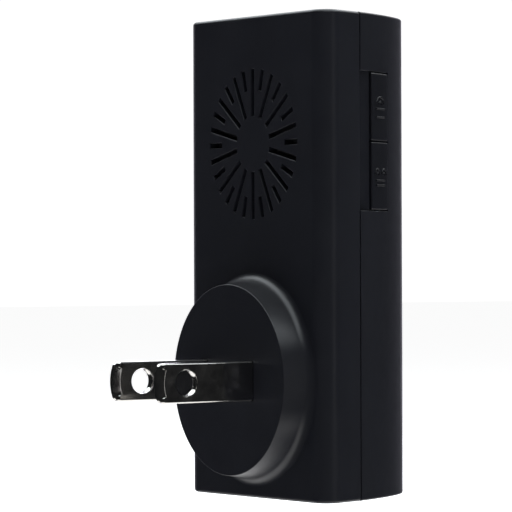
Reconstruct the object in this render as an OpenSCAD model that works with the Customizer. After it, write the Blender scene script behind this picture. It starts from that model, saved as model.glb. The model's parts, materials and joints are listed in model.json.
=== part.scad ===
// Plug-in ultrasonic pest repeller.
// Frame: +Y is the way the blades point, +Z is up, the front cover faces -Y and the keys are on the -X side.
// The origin is the centre of the boss face, midway between the blades.

/* [Body] */
// Height of the body
body_h = 78.2; // [78:0.1:84]
// Height of the body's underside below the plug's centre
body_below = 19.2; // [18.8:0.1:21]
// Radius of each flank, a long flat arc
flank_r = 61; // [60.8:0.1:61.4]
// Radius of the two back corners
corner_r = 2.8; // [2.6:0.1:3]
// Radius of the nose that joins the two flanks at the front
nose_r = 11.3; // [11.2:0.1:11.6]
// Rounding of the rear housing's top and bottom edges
housing_edge_r = 0.6; // [0.4:0.1:0.8]
// Rounding of the front cover's top and bottom edges
cover_edge_r = 0.4; // [0.4:0.1:0.6]
// Thickness of the shells
wall = 1.8; // [1.7:0.05:1.9]
// Depth of the parting plane, from the back face
part_d = 9.1; // [8.9:0.1:9.3]
// Width of the groove left between the two shells
part_gap = 0.2; // [0.15:0.05:0.25]

/* [Boss] */
// Radius of the boss face
boss_r = 15.44; // [15:0.02:15.6]
// Height of the boss above the back face
boss_h = 5.1; // [4.9:0.1:5.3]
// Growth of the boss's radius from its rim to the start of its fillet
boss_flare = 0.5; // [0.3:0.1:0.6]
// Radius of the fillet where the boss meets the back face
boss_fillet_r = 1.7; // [1.4:0.1:1.8]

/* [Plug] */
// Width of a blade
blade_w = 6.35; // [6.1:0.05:6.5]
// Thickness of a blade
blade_t = 1.52; // [1.4:0.01:1.65]
// Distance between the blades' centres
blade_pitch = 12.7; // [12.6:0.05:12.8]
// Length of a blade in front of the boss face
blade_l = 18.2; // [17.6:0.1:18.3]
// Radius of the hole through each blade
blade_hole_r = 2; // [1.8:0.05:2.1]
// Distance of the hole's centre from the boss face
blade_hole_y = 12.7; // [12:0.1:13]

/* [Sound grille] */
// Height of the grille's centre above the plug's centre
grille_z = 38.2; // [38:0.1:38.6]
// Radius of the slots' outer ends
grille_r = 12.2; // [11.8:0.1:12.4]
// Radius of the long slots' inner ends
long_slot_r = 4.55; // [4:0.05:5]
// Radius of the short slots' inner ends
short_slot_r = 8.75; // [8:0.05:9.4]
// Number of slots, long and short in turn
slot_count = 28; // [20:4:28]
// Width of a slot
slot_w = 0.85; // [0.6:0.05:0.9]

/* [Keys] */
// Height of the key window
window_h = 22.4; // [22.2:0.1:22.6]
// Height of the window's centre above the plug's centre
window_mid_z = 38.4; // [38.2:0.1:38.6]
// Depth of the window's near edge, from the back face
window_d = 12.2; // [12:0.1:12.4]
// Width of the window, front to back
window_w = 5.9; // [5.7:0.1:6.2]
// Gap round each key
key_gap = 0.13; // [0.1:0.01:0.15]
// How far a key stands above the flank
key_proud = 0.15; // [0.1:0.05:0.2]
// Travel of a key
key_travel = 0.4; // [0.25:0.05:0.4]
// Depth of the finger recess where it meets the keys
scoop_depth = 0.35; // [0.3:0.05:0.5]

/* [Circuit board] */
// Depth of the board's back side, from the back face
board_d = 12; // [11.9:0.1:12.1]
// Thickness of the board
board_t = 1.5; // [1.4:0.1:1.6]
// Width of the board
board_w = 25.4; // [25.2:0.1:25.6]
// Height of the board
board_h = 73; // [72.8:0.1:73.4]

/* [Hidden] */
$fn = 96;
eps = 0.01;
blade_gap = 0.1;
blade_x = blade_pitch / 2;

// Outline of the body. Neighbouring arcs are tangent where the line through their centres meets them,
// and these lines rise 7 in 24 and 3 in 4, which keeps every centre and meeting point a round number.
corner_way = [0.96, 0.28];
nose_way = [0.8, 0.6];
flank_cx = (flank_r - nose_r) * nose_way[0];
flank_cd = (flank_r - corner_r) * corner_way[1] - corner_r;
corner_c = [(flank_r - corner_r) * corner_way[0] - flank_cx, corner_r];
nose_c = [0, (flank_r - nose_r) * nose_way[1] - flank_cd];
corner_cx = corner_c[0];
far = 100;
inner = corner_c - 10 * corner_way;
flank_zone = [[0, inner[1]], inner, corner_c + far * corner_way, nose_c + far * nose_way, nose_c];
corner_zone = [corner_c, [corner_cx, -1], [2 * corner_cx, -1], corner_c + 10 * corner_way];
nose_zone = [nose_c, nose_c + far * nose_way, [0, 2 * far], nose_c + far * [-nose_way[0], nose_way[1]]];
back_zone = [
  [-corner_cx, -1], [corner_cx, -1], corner_c, inner, [-inner[0], inner[1]], [-corner_cx, corner_r]
];
body_w = 2 * (corner_cx + corner_r);
body_d = nose_c[1] + nose_r;
body_z0 = -body_below;
body_z1 = body_h - body_below;
housing_d = part_d - part_gap / 2;
cover_d = part_d + part_gap / 2;

// Shell joint
lap = 1.5;
lap_wall = 0.9;
lap_gap = 0.1;
tongue_inset = lap_wall + lap_gap;
catch_x = 8;
catch_w = 5;
catch_d = part_d - 0.8;
catch_reach = 0.45;
catch_h = 0.7;

// Boss and blade clamp
boss_wall = 2.2;
boss_hollow_r = 12.6;
boss_skirt_d = 2;
boss_sink = 0.06;
blade_root = boss_wall + 1;
tip_arch_r = 7.5;
tip_corner_r = 1;
tip_t = 0.7;
tip_slope_l = 1.3;
shoulder_w = 9.4;
shoulder_l = 2;
tail_w = 4;
tail_l = 5;
carrier_r = 12.2;
carrier_t = 2.5;
carrier_y = -boss_wall - shoulder_l;
clamp_post_z = 9;
clamp_post_r = 2.4;
screw_r = 1;
screw_head_r = 1.9;
screw_head_h = 1.3;
screw_bite = 3.2;

// Sounder, built up from the back wall inwards
mesh_t = 0.2;
gasket_t = 0.5;
gasket_r = 13.9;
gasket_hole_r = 12.4;
flange_d = wall + mesh_t + gasket_t;
flange_t = 0.9;
clamp_d = flange_d + flange_t;
clamp_t = 1;
clamp_r = 14.6;
lug_r = 2;
lug_reach = 16.1;
lug_angles = [90, 210, 330];
lug_screw_r = 0.8;
lug_head_r = 1.5;
collar_r = 14.05;
collar_t = 0.8;
collar_h = 1.4;
piezo_r = 5.6;
piezo_d = 7.2;
piezo_t = 0.3;
ceramic_r = 4.2;
stem_r = 0.9;
basket_t = 0.8;
cone_t = 0.35;
cone_r = gasket_hole_r - basket_t;
cone_rim_d = flange_d + 0.4;
cone_tip_r = 1.2;
cone_tip_d = piezo_d - 0.8;
ring_gap = 0.1;
sounder_lead_x = 1.2;
sounder_lead_r = 0.4;

// Board posts and screws
post_r = 2.4;
post_x = 10.6;
post_inset_z = 5.2;
post_z = [body_z0 + post_inset_z, body_z1 - post_inset_z];
board_z0 = body_z0 + wall + 0.6;
board_front = board_d + board_t;
board_hole_r = 1.15;
board_notch = 1.7;
board_notch_z = 1.2;

// Keys and switches
window_z = window_mid_z - window_h / 2;
key_h = (window_h - 3 * key_gap * 1.4) / 2;
key_z = [window_z + key_gap * 1.4 + key_h / 2, window_z + window_h - key_gap * 1.4 - key_h / 2];
key_w = window_w - 2 * key_gap;
key_d = window_d + window_w / 2;
key_flange = 0.5;
key_back = 2.7;
key_reach = 24.8;
flange_gap = 0.05;
window_inset = 4;
scoop_back = 1.2;
nub_x = 10.35;
nub_l = 1.2;
nub_w = 2.2;
nub_h = 2.4;
plunger_x = 10.3;
plunger_l = 1.1;
plunger_w = 1.4;
plunger_h = 2.5;
plunger_gap = 0.1;
plunger_root = 0.5;
plunger_room = key_travel + 0.6;
switch_x = plunger_l - plunger_x;
switch_w = 4.8;
switch_l = 3.4;
switch_h = 3.4;

// Box-shaped components: place across and up, width, height, and how far each stands off the board
socket_box = [0, 20.9, 6, 4.6, 4.4];
film_capacitor_box = [0, -12.5, 12.5, 5, 7.5];
rectifier_box = [0, -14.6, 6.4, 4, 2.4];
switching_chip_box = [-0.5, 5.6, 6, 4, 1.5];
optocoupler_box = [-7.2, 4.5, 4.6, 6.4, 2.2];
control_chip_box = [1.5, 39, 6, 10, 1.6];
crystal_box = [7.2, 39, 2.4, 5, 1.2];
chip_resistor_x = [3, 5.8];
chip_resistor_z = [30, 32.5, 46.2];
chip_resistor_box = [2, 1.25, 0.5];

// Round components
resistor_at = [-7.6, board_d - 2, -9.3];
resistor_r = 1.6;
resistor_l = 8;
varistor_at = [0, board_d - 4.1, 5];
varistor_r = 3.6;
varistor_t = 2.6;
bulk_x = 8;
bulk_z = 14;
bulk_r = 3.9;
bulk_h = 8.2;
choke_z = 13;
choke_r = 3;
choke_neck_r = 2.3;
choke_h = 6;
choke_lip = 0.8;
diode_at = [-6, board_front + 1.4, 11];
diode_r = 1.35;
diode_l = 5.2;
output_at = [3.2, board_front, 13];
output_r = 3.1;
output_h = 6.6;
boost_z = 50.6;
boost_r = 3.8;
boost_neck_r = 1.8;
boost_h = 6.5;
boost_lip = 1;
boost_winding_r = 3.3;

// Transformer: a ferrite frame round a bobbin that carries the winding
trafo_z = -5.2;
trafo_d = board_front + 4.6;
frame_w = 10;
frame_l = 11.2;
frame_h = 7.2;
frame_lift = 1;
frame_window = 7.6;
core_r = 1.5;
bobbin_r = 2;
bobbin_l = 7.5;
bobbin_lip = 0.8;
bobbin_w = 9.2;
bobbin_h = 8.2;
winding_r = 3.5;
coil_gap = 0.02;

// Light pipe in the front cover
light_z = 26;
light_r = 1.4;
light_gap = 0.05;
light_proud = 0.1;
light_lip_r = 2.1;
light_lip_d = 1.3;
light_lip_t = 1;
light_d = board_front + 1.9;
light_box = [2.8, 3.5, 1.8];

// ---- Frames and shapes shared by the parts ----

// Children are drawn with +Y as depth from the back face towards the front cover.
module from_back() {
  translate([0, -boss_h, 0]) mirror([0, 1, 0]) children();
}

// A cylinder that stands along Y from y = 0, towards +Y.
module rod_y(r, length) {
  rotate([-90, 0, 0]) cylinder(r = r, h = length);
}

module box_at(centre, size) {
  translate(centre) cube(size, center = true);
}

// A box-shaped component that stands on the board's front, from its row of measures in the Hidden section.
module on_front(part) {
  translate([part[0] - part[2] / 2, board_front, part[1] - part[3] / 2]) cube([part[2], part[4], part[3]]);
}

// The same on the board's back.
module on_back(part) {
  translate([part[0] - part[2] / 2, board_d - part[4], part[1] - part[3] / 2])
    cube([part[2], part[4], part[3]]);
}

// A round section from p to q, with a slightly fuller round end at q.
module wire_run(p, q, r) {
  v = q - p;
  reach = norm(v);
  translate(p) rotate([0, acos(v[2] / reach), atan2(v[1], v[0])]) cylinder(r = r, h = reach, $fn = 24);
  translate(q) sphere(r = r * 1.04, $fn = 24);
}

module wire(points, r) {
  for (i = [0 : len(points) - 2]) wire_run(points[i], points[i + 1], r);
}

// Plan outline of the body, inset by a wall thickness: a back, two corners, two flanks and a nose.
module outline(inset) {
  for (side = [0, 1]) mirror([side, 0]) {
    intersection() {
      translate([-flank_cx, -flank_cd]) circle(r = flank_r - inset, $fn = 360);
      polygon(flank_zone);
    }
    intersection() {
      translate(corner_c) circle(r = corner_r - inset);
      polygon(corner_zone);
    }
  }
  intersection() {
    translate(nose_c) circle(r = nose_r - inset, $fn = 180);
    polygon(nose_zone);
  }
  intersection() {
    translate([-corner_cx, inset]) square([2 * corner_cx, corner_r]);
    polygon(back_zone);
  }
}

// Half-width of the body at a depth where its side is a flank.
function flank_x(d) = sqrt(pow(flank_r, 2) - pow(d + flank_cd, 2)) - flank_cx;

// The outline drawn up into a block that is inset on every side.
module block(inset) {
  translate([0, 0, body_z0 + inset]) linear_extrude(body_h - 2 * inset) outline(inset);
}

// Half of a disc's section, from the axis to r, with its top and bottom edges rounded by edge_r.
module rounded_section(r, edge_r) {
  translate([0, body_z0]) square([r - edge_r, body_h]);
  translate([0, body_z0 + edge_r]) square([r, body_h - 2 * edge_r]);
  for (z = [body_z0 + edge_r, body_z1 - edge_r]) translate([r - edge_r, z]) circle(r = edge_r, $fn = 32);
}

module rounded_disc(centre, r, edge_r) {
  translate([centre[0], centre[1], 0]) rotate_extrude($fn = 360) rounded_section(r, edge_r);
}

module prism(points) {
  translate([0, 0, body_z0 - 1]) linear_extrude(body_h + 2) polygon(points);
}

// The whole body as a solid, with rounded top and bottom edges, in the same zones as its outline.
module body_block(edge_r) {
  for (side = [0, 1]) mirror([side, 0, 0]) {
    intersection() {
      rounded_disc([-flank_cx, -flank_cd], flank_r, edge_r);
      prism(flank_zone);
    }
    intersection() {
      rounded_disc(corner_c, corner_r, edge_r);
      prism(corner_zone);
    }
  }
  intersection() {
    rounded_disc(nose_c, nose_r, edge_r);
    prism(nose_zone);
  }
  intersection() {
    translate([-corner_cx, 2 * corner_r, 0]) rotate([90, 0, 90]) linear_extrude(2 * corner_cx)
      mirror([1, 0]) rounded_section(2 * corner_r, edge_r);
    prism(back_zone);
  }
}

// The part of its children between two depths.
module slice(d0, d1) {
  intersection() {
    children();
    translate([-body_w, d0, body_z0 - 1]) cube([2 * body_w, d1 - d0, body_h + 2]);
  }
}

// Section of the boss about the plug's axis: radius against depth below the boss face.
module boss_section() {
  fillet_top = boss_h + boss_sink - boss_fillet_r;
  foot_r = boss_r + boss_flare + boss_fillet_r;
  difference() {
    union() {
      polygon([[0, 0], [boss_r, 0], [boss_r + boss_flare, fillet_top], [0, fillet_top]]);
      translate([0, fillet_top]) square([foot_r, boss_fillet_r + boss_skirt_d]);
    }
    translate([foot_r, fillet_top]) circle(r = boss_fillet_r);
  }
}

module boss_block() {
  rotate([90, 0, 0]) rotate_extrude($fn = 180) boss_section();
}

module slot(angle, inner_r) {
  reach = grille_r - inner_r;
  rotate([0, angle, 0]) translate([-slot_w / 2, -1, inner_r]) cube([slot_w, wall + 2, reach]);
}

module grille_slots() {
  for (i = [0 : slot_count - 1]) slot(i * 360 / slot_count, i % 2 == 0 ? long_slot_r : short_slot_r);
}

module snap_catches(grow) {
  for (x = [-catch_x, catch_x], side = [-1, 1])
    box_at(
      [x, catch_d, (body_z0 + body_z1) / 2 + side * (body_h / 2 - tongue_inset)],
      [catch_w + 2 * grow, catch_h + 2 * grow, 2 * (catch_reach + grow)]
    );
}

module sounder_lugs(r, d0, d1) {
  for (angle = lug_angles)
    translate([lug_reach * cos(angle), d0, grille_z + lug_reach * sin(angle)]) rod_y(r, d1 - d0);
}

module board_posts(r, d0, d1) {
  for (x = [-post_x, post_x], z = post_z) translate([x, d0, z]) rod_y(r, d1 - d0);
}

module clamp_posts(r, y0, y1) {
  for (z = [-clamp_post_z, clamp_post_z]) translate([0, y0, z]) rod_y(r, y1 - y0);
}

// ---- Shells ----

module rear_housing() {
  color([0.07, 0.07, 0.08]) difference() {
    union() {
      difference() {
        union() {
          from_back() slice(0, housing_d) body_block(housing_edge_r);
          intersection() {
            boss_block();
            translate([-body_w, -boss_h - part_d / 2, body_z0]) cube([2 * body_w, part_d * 2, body_h]);
          }
        }
        from_back() block(wall);
        from_back() slice(part_d - lap, part_d) block(lap_wall);
        translate([0, -boss_h - wall - eps, 0]) rod_y(boss_hollow_r, boss_h + wall + eps - boss_wall);
      }
      clamp_posts(clamp_post_r, carrier_y, -boss_wall + eps);
      from_back() {
        board_posts(post_r, wall - eps, board_d);
        sounder_lugs(lug_r, wall - eps, clamp_d);
        difference() {
          translate([0, wall - eps, grille_z]) rod_y(collar_r + collar_t, collar_h);
          translate([0, wall - 1, grille_z]) rod_y(collar_r, collar_h + 2);
          translate([-body_w, 0, grille_z - 1]) cube([2 * body_w, wall + collar_h + 1, 2]);
        }
      }
    }
    for (side = [-1, 1])
      box_at([side * blade_x, 0, 0], [blade_t + 2 * blade_gap, 3 * boss_wall, blade_w + 2 * blade_gap]);
    clamp_posts(screw_r, carrier_y - eps, carrier_y + screw_bite);
    from_back() {
      translate([0, 0, grille_z]) grille_slots();
      board_posts(screw_r, board_d - 6, board_d + eps);
      sounder_lugs(lug_screw_r, clamp_d - 1.9, clamp_d + eps);
      snap_catches(0.1);
    }
  }
}

module key_window() {
  translate([-body_w, window_d, window_z]) cube([body_w - window_inset, window_w, window_h]);
}

// The finger recess: a flat floor, deepest at the parting plane, that meets the window's near edge.
module finger_scoop() {
  translate([0, 0, window_z]) linear_extrude(window_h) polygon([
    [-body_w, cover_d], [scoop_back - flank_x(cover_d), cover_d],
    [scoop_depth - flank_x(window_d), window_d + eps], [-body_w, window_d + eps]
  ]);
}

module front_cover() {
  color([0.07, 0.07, 0.08]) from_back() difference() {
    union() {
      difference() {
        union() {
          slice(cover_d, body_d + 1) body_block(cover_edge_r);
          slice(part_d - lap + lap_gap, part_d + 1) block(tongue_inset);
        }
        block(wall);
      }
      snap_catches(0);
    }
    slice(part_d - lap - 1, body_d) block(wall);
    key_window();
    finger_scoop();
    translate([0, body_d - 2 * wall, light_z]) rod_y(light_r + light_gap, 3 * wall);
  }
}

module light_pipe() {
  color([0.92, 0.95, 1, 0.6]) from_back() {
    translate([0, light_d, light_z]) rod_y(light_r, body_d - light_d + light_proud);
    translate([0, body_d - wall - light_lip_d, light_z]) rod_y(light_lip_r, light_lip_t);
  }
}

// ---- Keys ----

// A key slides along X: its edges run along X, its face follows the flank, its flange sits inside the wall.
module key(z) {
  color([0.08, 0.08, 0.09]) from_back() {
    intersection() {
      difference() {
        block(-key_proud);
        block(key_back);
      }
      box_at([-body_w / 2, key_d, z], [key_reach, key_w, key_h]);
    }
    intersection() {
      difference() {
        block(wall + flange_gap);
        block(key_back);
      }
      box_at([-body_w / 2, key_d, z], [key_reach, key_w + 2 * key_flange, key_h - 2 * eps]);
    }
    translate([-nub_x - nub_l, key_d - nub_l, z - nub_h / 2]) cube([nub_l, nub_w, nub_h]);
  }
}

module upper_key() {
  key(key_z[1]);
}

module lower_key() {
  key(key_z[0]);
}

module switch_body(z) {
  color([0.75, 0.76, 0.78]) from_back() difference() {
    translate([switch_x, board_front, z - switch_w / 2]) cube([switch_l, switch_h, switch_w]);
    box_at([switch_x, key_d, z], [2 * plunger_room, plunger_w + 2 * plunger_gap, plunger_h + 2 * plunger_gap]);
  }
}

module switch_plunger(z) {
  color([0.12, 0.12, 0.12]) from_back()
    translate([-plunger_x, key_d - plunger_w / 2, z - plunger_h / 2])
      cube([plunger_l + plunger_root, plunger_w, plunger_h]);
}

module upper_switch_body() {
  switch_body(key_z[1]);
}

module upper_switch_plunger() {
  switch_plunger(key_z[1]);
}

module lower_switch_body() {
  switch_body(key_z[0]);
}

module lower_switch_plunger() {
  switch_plunger(key_z[0]);
}

// ---- Plug ----

// Side view of a blade: straight edges, an arched tip and rounded tip corners that flow into the arch.
module blade_side() {
  arch_x = blade_l - tip_arch_r;
  corner_z = blade_w / 2 - tip_corner_r;
  corner_x = arch_x + sqrt(pow(tip_arch_r - tip_corner_r, 2) - pow(corner_z, 2));
  meet_z = corner_z * tip_arch_r / (tip_arch_r - tip_corner_r);
  translate([-blade_root, -blade_w / 2]) square([blade_root + corner_x, blade_w]);
  for (side = [-1, 1]) translate([corner_x, side * corner_z]) circle(r = tip_corner_r);
  intersection() {
    translate([arch_x, 0]) circle(r = tip_arch_r);
    translate([arch_x, -meet_z]) square([tip_arch_r, 2 * meet_z]);
  }
}

// Plan of a blade: full thickness, then both faces slope in to the tip.
module blade_plan() {
  polygon([
    [-blade_t / 2, -blade_root], [blade_t / 2, -blade_root],
    [blade_t / 2, blade_l - tip_slope_l], [tip_t / 2, blade_l + eps],
    [-tip_t / 2, blade_l + eps], [-blade_t / 2, blade_l - tip_slope_l]
  ]);
}

module blade(side) {
  color([0.8, 0.79, 0.76]) translate([side * blade_x, 0, 0]) {
    difference() {
      intersection() {
        rotate([90, 0, 90]) translate([0, 0, -blade_t / 2]) linear_extrude(blade_t) blade_side();
        translate([0, 0, -blade_w]) linear_extrude(2 * blade_w) blade_plan();
      }
      translate([-blade_t, blade_hole_y, 0]) rotate([0, 90, 0]) cylinder(r = blade_hole_r, h = 2 * blade_t);
    }
    translate([-blade_t / 2, carrier_y, -shoulder_w / 2]) cube([blade_t, shoulder_l, shoulder_w]);
    translate([-blade_t / 2, carrier_y - tail_l, -tail_w / 2]) cube([blade_t, tail_l + eps, tail_w]);
  }
}

module left_blade() {
  blade(-1);
}

module right_blade() {
  blade(1);
}

module blade_carrier() {
  color([0.9, 0.88, 0.8]) difference() {
    translate([0, carrier_y - carrier_t, 0]) rod_y(carrier_r, carrier_t);
    for (side = [-1, 1])
      box_at([side * blade_x, carrier_y, 0], [blade_t + 0.1, 3 * carrier_t, tail_w + 0.1]);
    clamp_posts(screw_r + 0.1, carrier_y - carrier_t - 1, carrier_y + 1);
  }
}

// A pan-head screw along Y: its head sits at y = 0, towards -Y.
module screw(r, head_r, head_h, length) {
  rod_y(r, length);
  difference() {
    translate([0, -head_h, 0]) rod_y(head_r, head_h);
    for (turn = [0, 90]) rotate([0, turn, 0]) box_at([0, -head_h, 0], [head_r * 1.2, head_h, head_r * 0.3]);
  }
}

module carrier_screws() {
  color([0.7, 0.7, 0.7]) for (z = [-clamp_post_z, clamp_post_z])
    translate([0, carrier_y - carrier_t, z]) screw(screw_r, screw_head_r, screw_head_h, carrier_t + screw_bite);
}

module lead(side, tint) {
  tail_y = carrier_y - tail_l;
  color(tint) wire([
    [side * blade_x, tail_y - 0.8, 0], [side * (blade_x + 1.6), tail_y - 2, 1.5],
    [side * (blade_x + 2.4), -boss_h - board_d + 3, 4], [side * (blade_x + 2.4), -boss_h - board_d + 0.8, 4]
  ], 0.8);
}

module live_lead() {
  lead(-1, [0.1, 0.1, 0.1]);
}

module neutral_lead() {
  lead(1, [0.9, 0.9, 0.9]);
}

// ---- Sounder ----

module ring(d, outer_r, inner_r, thickness) {
  translate([0, d, grille_z]) difference() {
    rod_y(outer_r, thickness);
    translate([0, -1, 0]) rod_y(inner_r, thickness + 2);
  }
}

module dust_mesh() {
  color([0.15, 0.15, 0.15]) from_back() translate([0, wall, grille_z]) rod_y(gasket_r, mesh_t);
}

module sounder_gasket() {
  color([0.2, 0.2, 0.2]) from_back() ring(wall + mesh_t, gasket_r, gasket_hole_r, gasket_t);
}

module sounder_frame() {
  rim_r = gasket_hole_r - basket_t;
  seat_r = piezo_r + 0.6;
  color([0.3, 0.3, 0.32]) from_back() {
    ring(flange_d, gasket_r, rim_r + basket_t / 4, flange_t);
    translate([0, 0, grille_z]) rotate([-90, 0, 0]) rotate_extrude() polygon([
      [gasket_hole_r, clamp_d - eps], [rim_r, clamp_d - eps],
      [seat_r, piezo_d], [seat_r, piezo_d + 1], [seat_r + 1, piezo_d + 1]
    ]);
  }
}

module sounder_cone() {
  color([0.85, 0.8, 0.65]) from_back() translate([0, 0, grille_z]) rotate([-90, 0, 0]) rotate_extrude()
    polygon([
      [cone_r, cone_rim_d], [cone_tip_r, cone_tip_d], [0, cone_tip_d],
      [0, cone_tip_d + cone_t], [cone_tip_r, cone_tip_d + cone_t], [cone_r, cone_rim_d + cone_t]
    ]);
}

module piezo_plate() {
  color([0.8, 0.65, 0.3]) from_back() {
    translate([0, piezo_d, grille_z]) rod_y(piezo_r, piezo_t);
    translate([0, cone_tip_d + cone_t, grille_z]) rod_y(stem_r, piezo_d - cone_tip_d - cone_t + eps);
  }
}

module piezo_ceramic() {
  color([0.93, 0.93, 0.9]) from_back() translate([0, piezo_d + piezo_t, grille_z]) rod_y(ceramic_r, piezo_t);
}

module sounder_clamp() {
  color([0.12, 0.12, 0.13]) from_back() difference() {
    union() {
      ring(clamp_d, clamp_r, gasket_hole_r + ring_gap, clamp_t);
      difference() {
        sounder_lugs(lug_r, clamp_d, clamp_d + clamp_t);
        translate([0, 0, grille_z]) rod_y(gasket_hole_r + ring_gap, 10);
      }
    }
    sounder_lugs(lug_screw_r + ring_gap, clamp_d - 1, clamp_d + 2 * clamp_t);
  }
}

module clamp_screws() {
  color([0.7, 0.7, 0.7]) from_back() for (angle = lug_angles)
    translate([lug_reach * cos(angle), clamp_d + clamp_t, grille_z + lug_reach * sin(angle)])
      mirror([0, 1, 0]) screw(lug_screw_r, lug_head_r, 1, clamp_t + 1.8);
}

module sounder_lead(x, tint) {
  color(tint) from_back() wire([
    [x, piezo_d + 1.3, grille_z - 3], [x, piezo_d + 1.9, grille_z - 9],
    [x, piezo_d + 2, grille_z - 14.5]
  ], sounder_lead_r);
}

module sounder_lead_red() {
  sounder_lead(-sounder_lead_x, [0.7, 0.1, 0.1]);
}

module sounder_lead_black() {
  sounder_lead(sounder_lead_x, [0.1, 0.1, 0.1]);
}

module sounder_socket() {
  color([0.9, 0.88, 0.8]) from_back() on_back(socket_box);
}

// ---- Circuit board and its components ----

module circuit_board() {
  color([0.1, 0.35, 0.2]) from_back() difference() {
    translate([-board_w / 2, board_d, board_z0]) cube([board_w, board_t, board_h]);
    board_posts(board_hole_r, board_d - 1, board_front + 1);
    box_at(
      [-board_w / 2, board_d, window_mid_z],
      [2 * board_notch, 4 * board_t, window_h + 2 * board_notch_z]
    );
  }
}

module board_screws() {
  color([0.7, 0.7, 0.7]) from_back() for (x = [-post_x, post_x], z = post_z)
    translate([x, board_front, z]) mirror([0, 1, 0]) screw(screw_r, 1.8, 1.2, board_t + 5.5);
}

module fusible_resistor() {
  color([0.3, 0.6, 0.4]) from_back() translate(resistor_at) cylinder(r = resistor_r, h = resistor_l);
}

module varistor() {
  color([0.2, 0.3, 0.7]) from_back() translate(varistor_at) cylinder(r = varistor_r, h = varistor_t);
}

module film_capacitor() {
  color([0.85, 0.75, 0.2]) from_back() on_back(film_capacitor_box);
}

module bridge_rectifier() {
  color([0.1, 0.1, 0.1]) from_back() on_front(rectifier_box);
}

module bulk_capacitors() {
  color([0.15, 0.15, 0.2]) from_back() for (x = [-bulk_x, bulk_x])
    translate([x, board_d - bulk_h, bulk_z]) rod_y(bulk_r, bulk_h);
}

module filter_choke() {
  color([0.3, 0.2, 0.15]) from_back() translate([0, board_d - choke_h, choke_z]) {
    rod_y(choke_r, choke_lip);
    rod_y(choke_neck_r, choke_h);
    translate([0, choke_h - choke_lip, 0]) rod_y(choke_r, choke_lip);
  }
}

module switching_chip() {
  color([0.1, 0.1, 0.1]) from_back() on_front(switching_chip_box);
}

module transformer_core() {
  color([0.2, 0.2, 0.22]) from_back() {
    difference() {
      translate([-frame_w / 2, board_front + frame_lift, trafo_z - frame_l / 2])
        cube([frame_w, frame_h, frame_l]);
      box_at([0, trafo_d, trafo_z], [2 * frame_w, 4 * frame_h, frame_window]);
    }
    translate([0, trafo_d, trafo_z - frame_window / 2 - bobbin_lip / 4])
      cylinder(r = core_r, h = frame_window + bobbin_lip / 2);
  }
}

module transformer_bobbin() {
  color([0.1, 0.1, 0.1]) from_back() difference() {
    union() {
      translate([0, trafo_d, trafo_z - bobbin_l / 2]) cylinder(r = bobbin_r, h = bobbin_l);
      for (z = [trafo_z - bobbin_l / 2, trafo_z + bobbin_l / 2 - bobbin_lip])
        translate([-bobbin_w / 2, board_front, z]) cube([bobbin_w, bobbin_h, bobbin_lip]);
    }
    translate([0, trafo_d, trafo_z - bobbin_l]) cylinder(r = core_r + coil_gap, h = 2 * bobbin_l);
  }
}

module transformer_winding() {
  winding_l = bobbin_l - 2 * bobbin_lip - 2 * coil_gap;
  color([0.8, 0.7, 0.2]) from_back() translate([0, trafo_d, trafo_z - winding_l / 2]) difference() {
    cylinder(r = winding_r, h = winding_l);
    translate([0, 0, -1]) cylinder(r = bobbin_r + coil_gap, h = winding_l + 2);
  }
}

module optocoupler() {
  color([0.12, 0.12, 0.12]) from_back() on_front(optocoupler_box);
}

module output_diode() {
  color([0.1, 0.1, 0.1]) from_back() translate(diode_at) cylinder(r = diode_r, h = diode_l);
}

module output_capacitor() {
  color([0.15, 0.2, 0.4]) from_back() translate(output_at) rod_y(output_r, output_h);
}

module control_chip() {
  color([0.1, 0.1, 0.1]) from_back() on_front(control_chip_box);
}

module crystal() {
  color([0.75, 0.75, 0.75]) from_back() on_front(crystal_box);
}

module boost_core() {
  color([0.2, 0.2, 0.22]) from_back() translate([0, board_front, boost_z]) {
    rod_y(boost_r, boost_lip);
    rod_y(boost_neck_r, boost_h);
    translate([0, boost_h - boost_lip, 0]) rod_y(boost_r, boost_lip);
  }
}

module boost_winding() {
  winding_h = boost_h - 2 * boost_lip - 2 * coil_gap;
  color([0.75, 0.4, 0.2]) from_back() translate([0, board_front + boost_lip + coil_gap, boost_z])
    difference() {
      rod_y(boost_winding_r, winding_h);
      translate([0, -1, 0]) rod_y(boost_neck_r + coil_gap, winding_h + 2);
    }
}

module chip_resistors() {
  color([0.15, 0.15, 0.15]) from_back() for (z = chip_resistor_z, x = chip_resistor_x)
    on_front([x, z, each chip_resistor_box]);
}

module indicator_light() {
  color([0.95, 0.95, 0.85]) from_back() on_front([0, light_z, each light_box]);
}

rear_housing();
front_cover();
light_pipe();
upper_key();
lower_key();
left_blade();
right_blade();
blade_carrier();
carrier_screws();
live_lead();
neutral_lead();
dust_mesh();
sounder_gasket();
sounder_frame();
sounder_cone();
piezo_plate();
piezo_ceramic();
sounder_clamp();
clamp_screws();
sounder_lead_red();
sounder_lead_black();
sounder_socket();
circuit_board();
board_screws();
fusible_resistor();
varistor();
film_capacitor();
bridge_rectifier();
bulk_capacitors();
filter_choke();
switching_chip();
transformer_core();
transformer_bobbin();
transformer_winding();
optocoupler();
output_diode();
output_capacitor();
control_chip();
crystal();
boost_core();
boost_winding();
chip_resistors();
indicator_light();
upper_switch_body();
upper_switch_plunger();
lower_switch_body();
lower_switch_plunger();
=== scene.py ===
import json
import math

import bpy
import bmesh
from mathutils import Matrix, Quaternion, Vector


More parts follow.
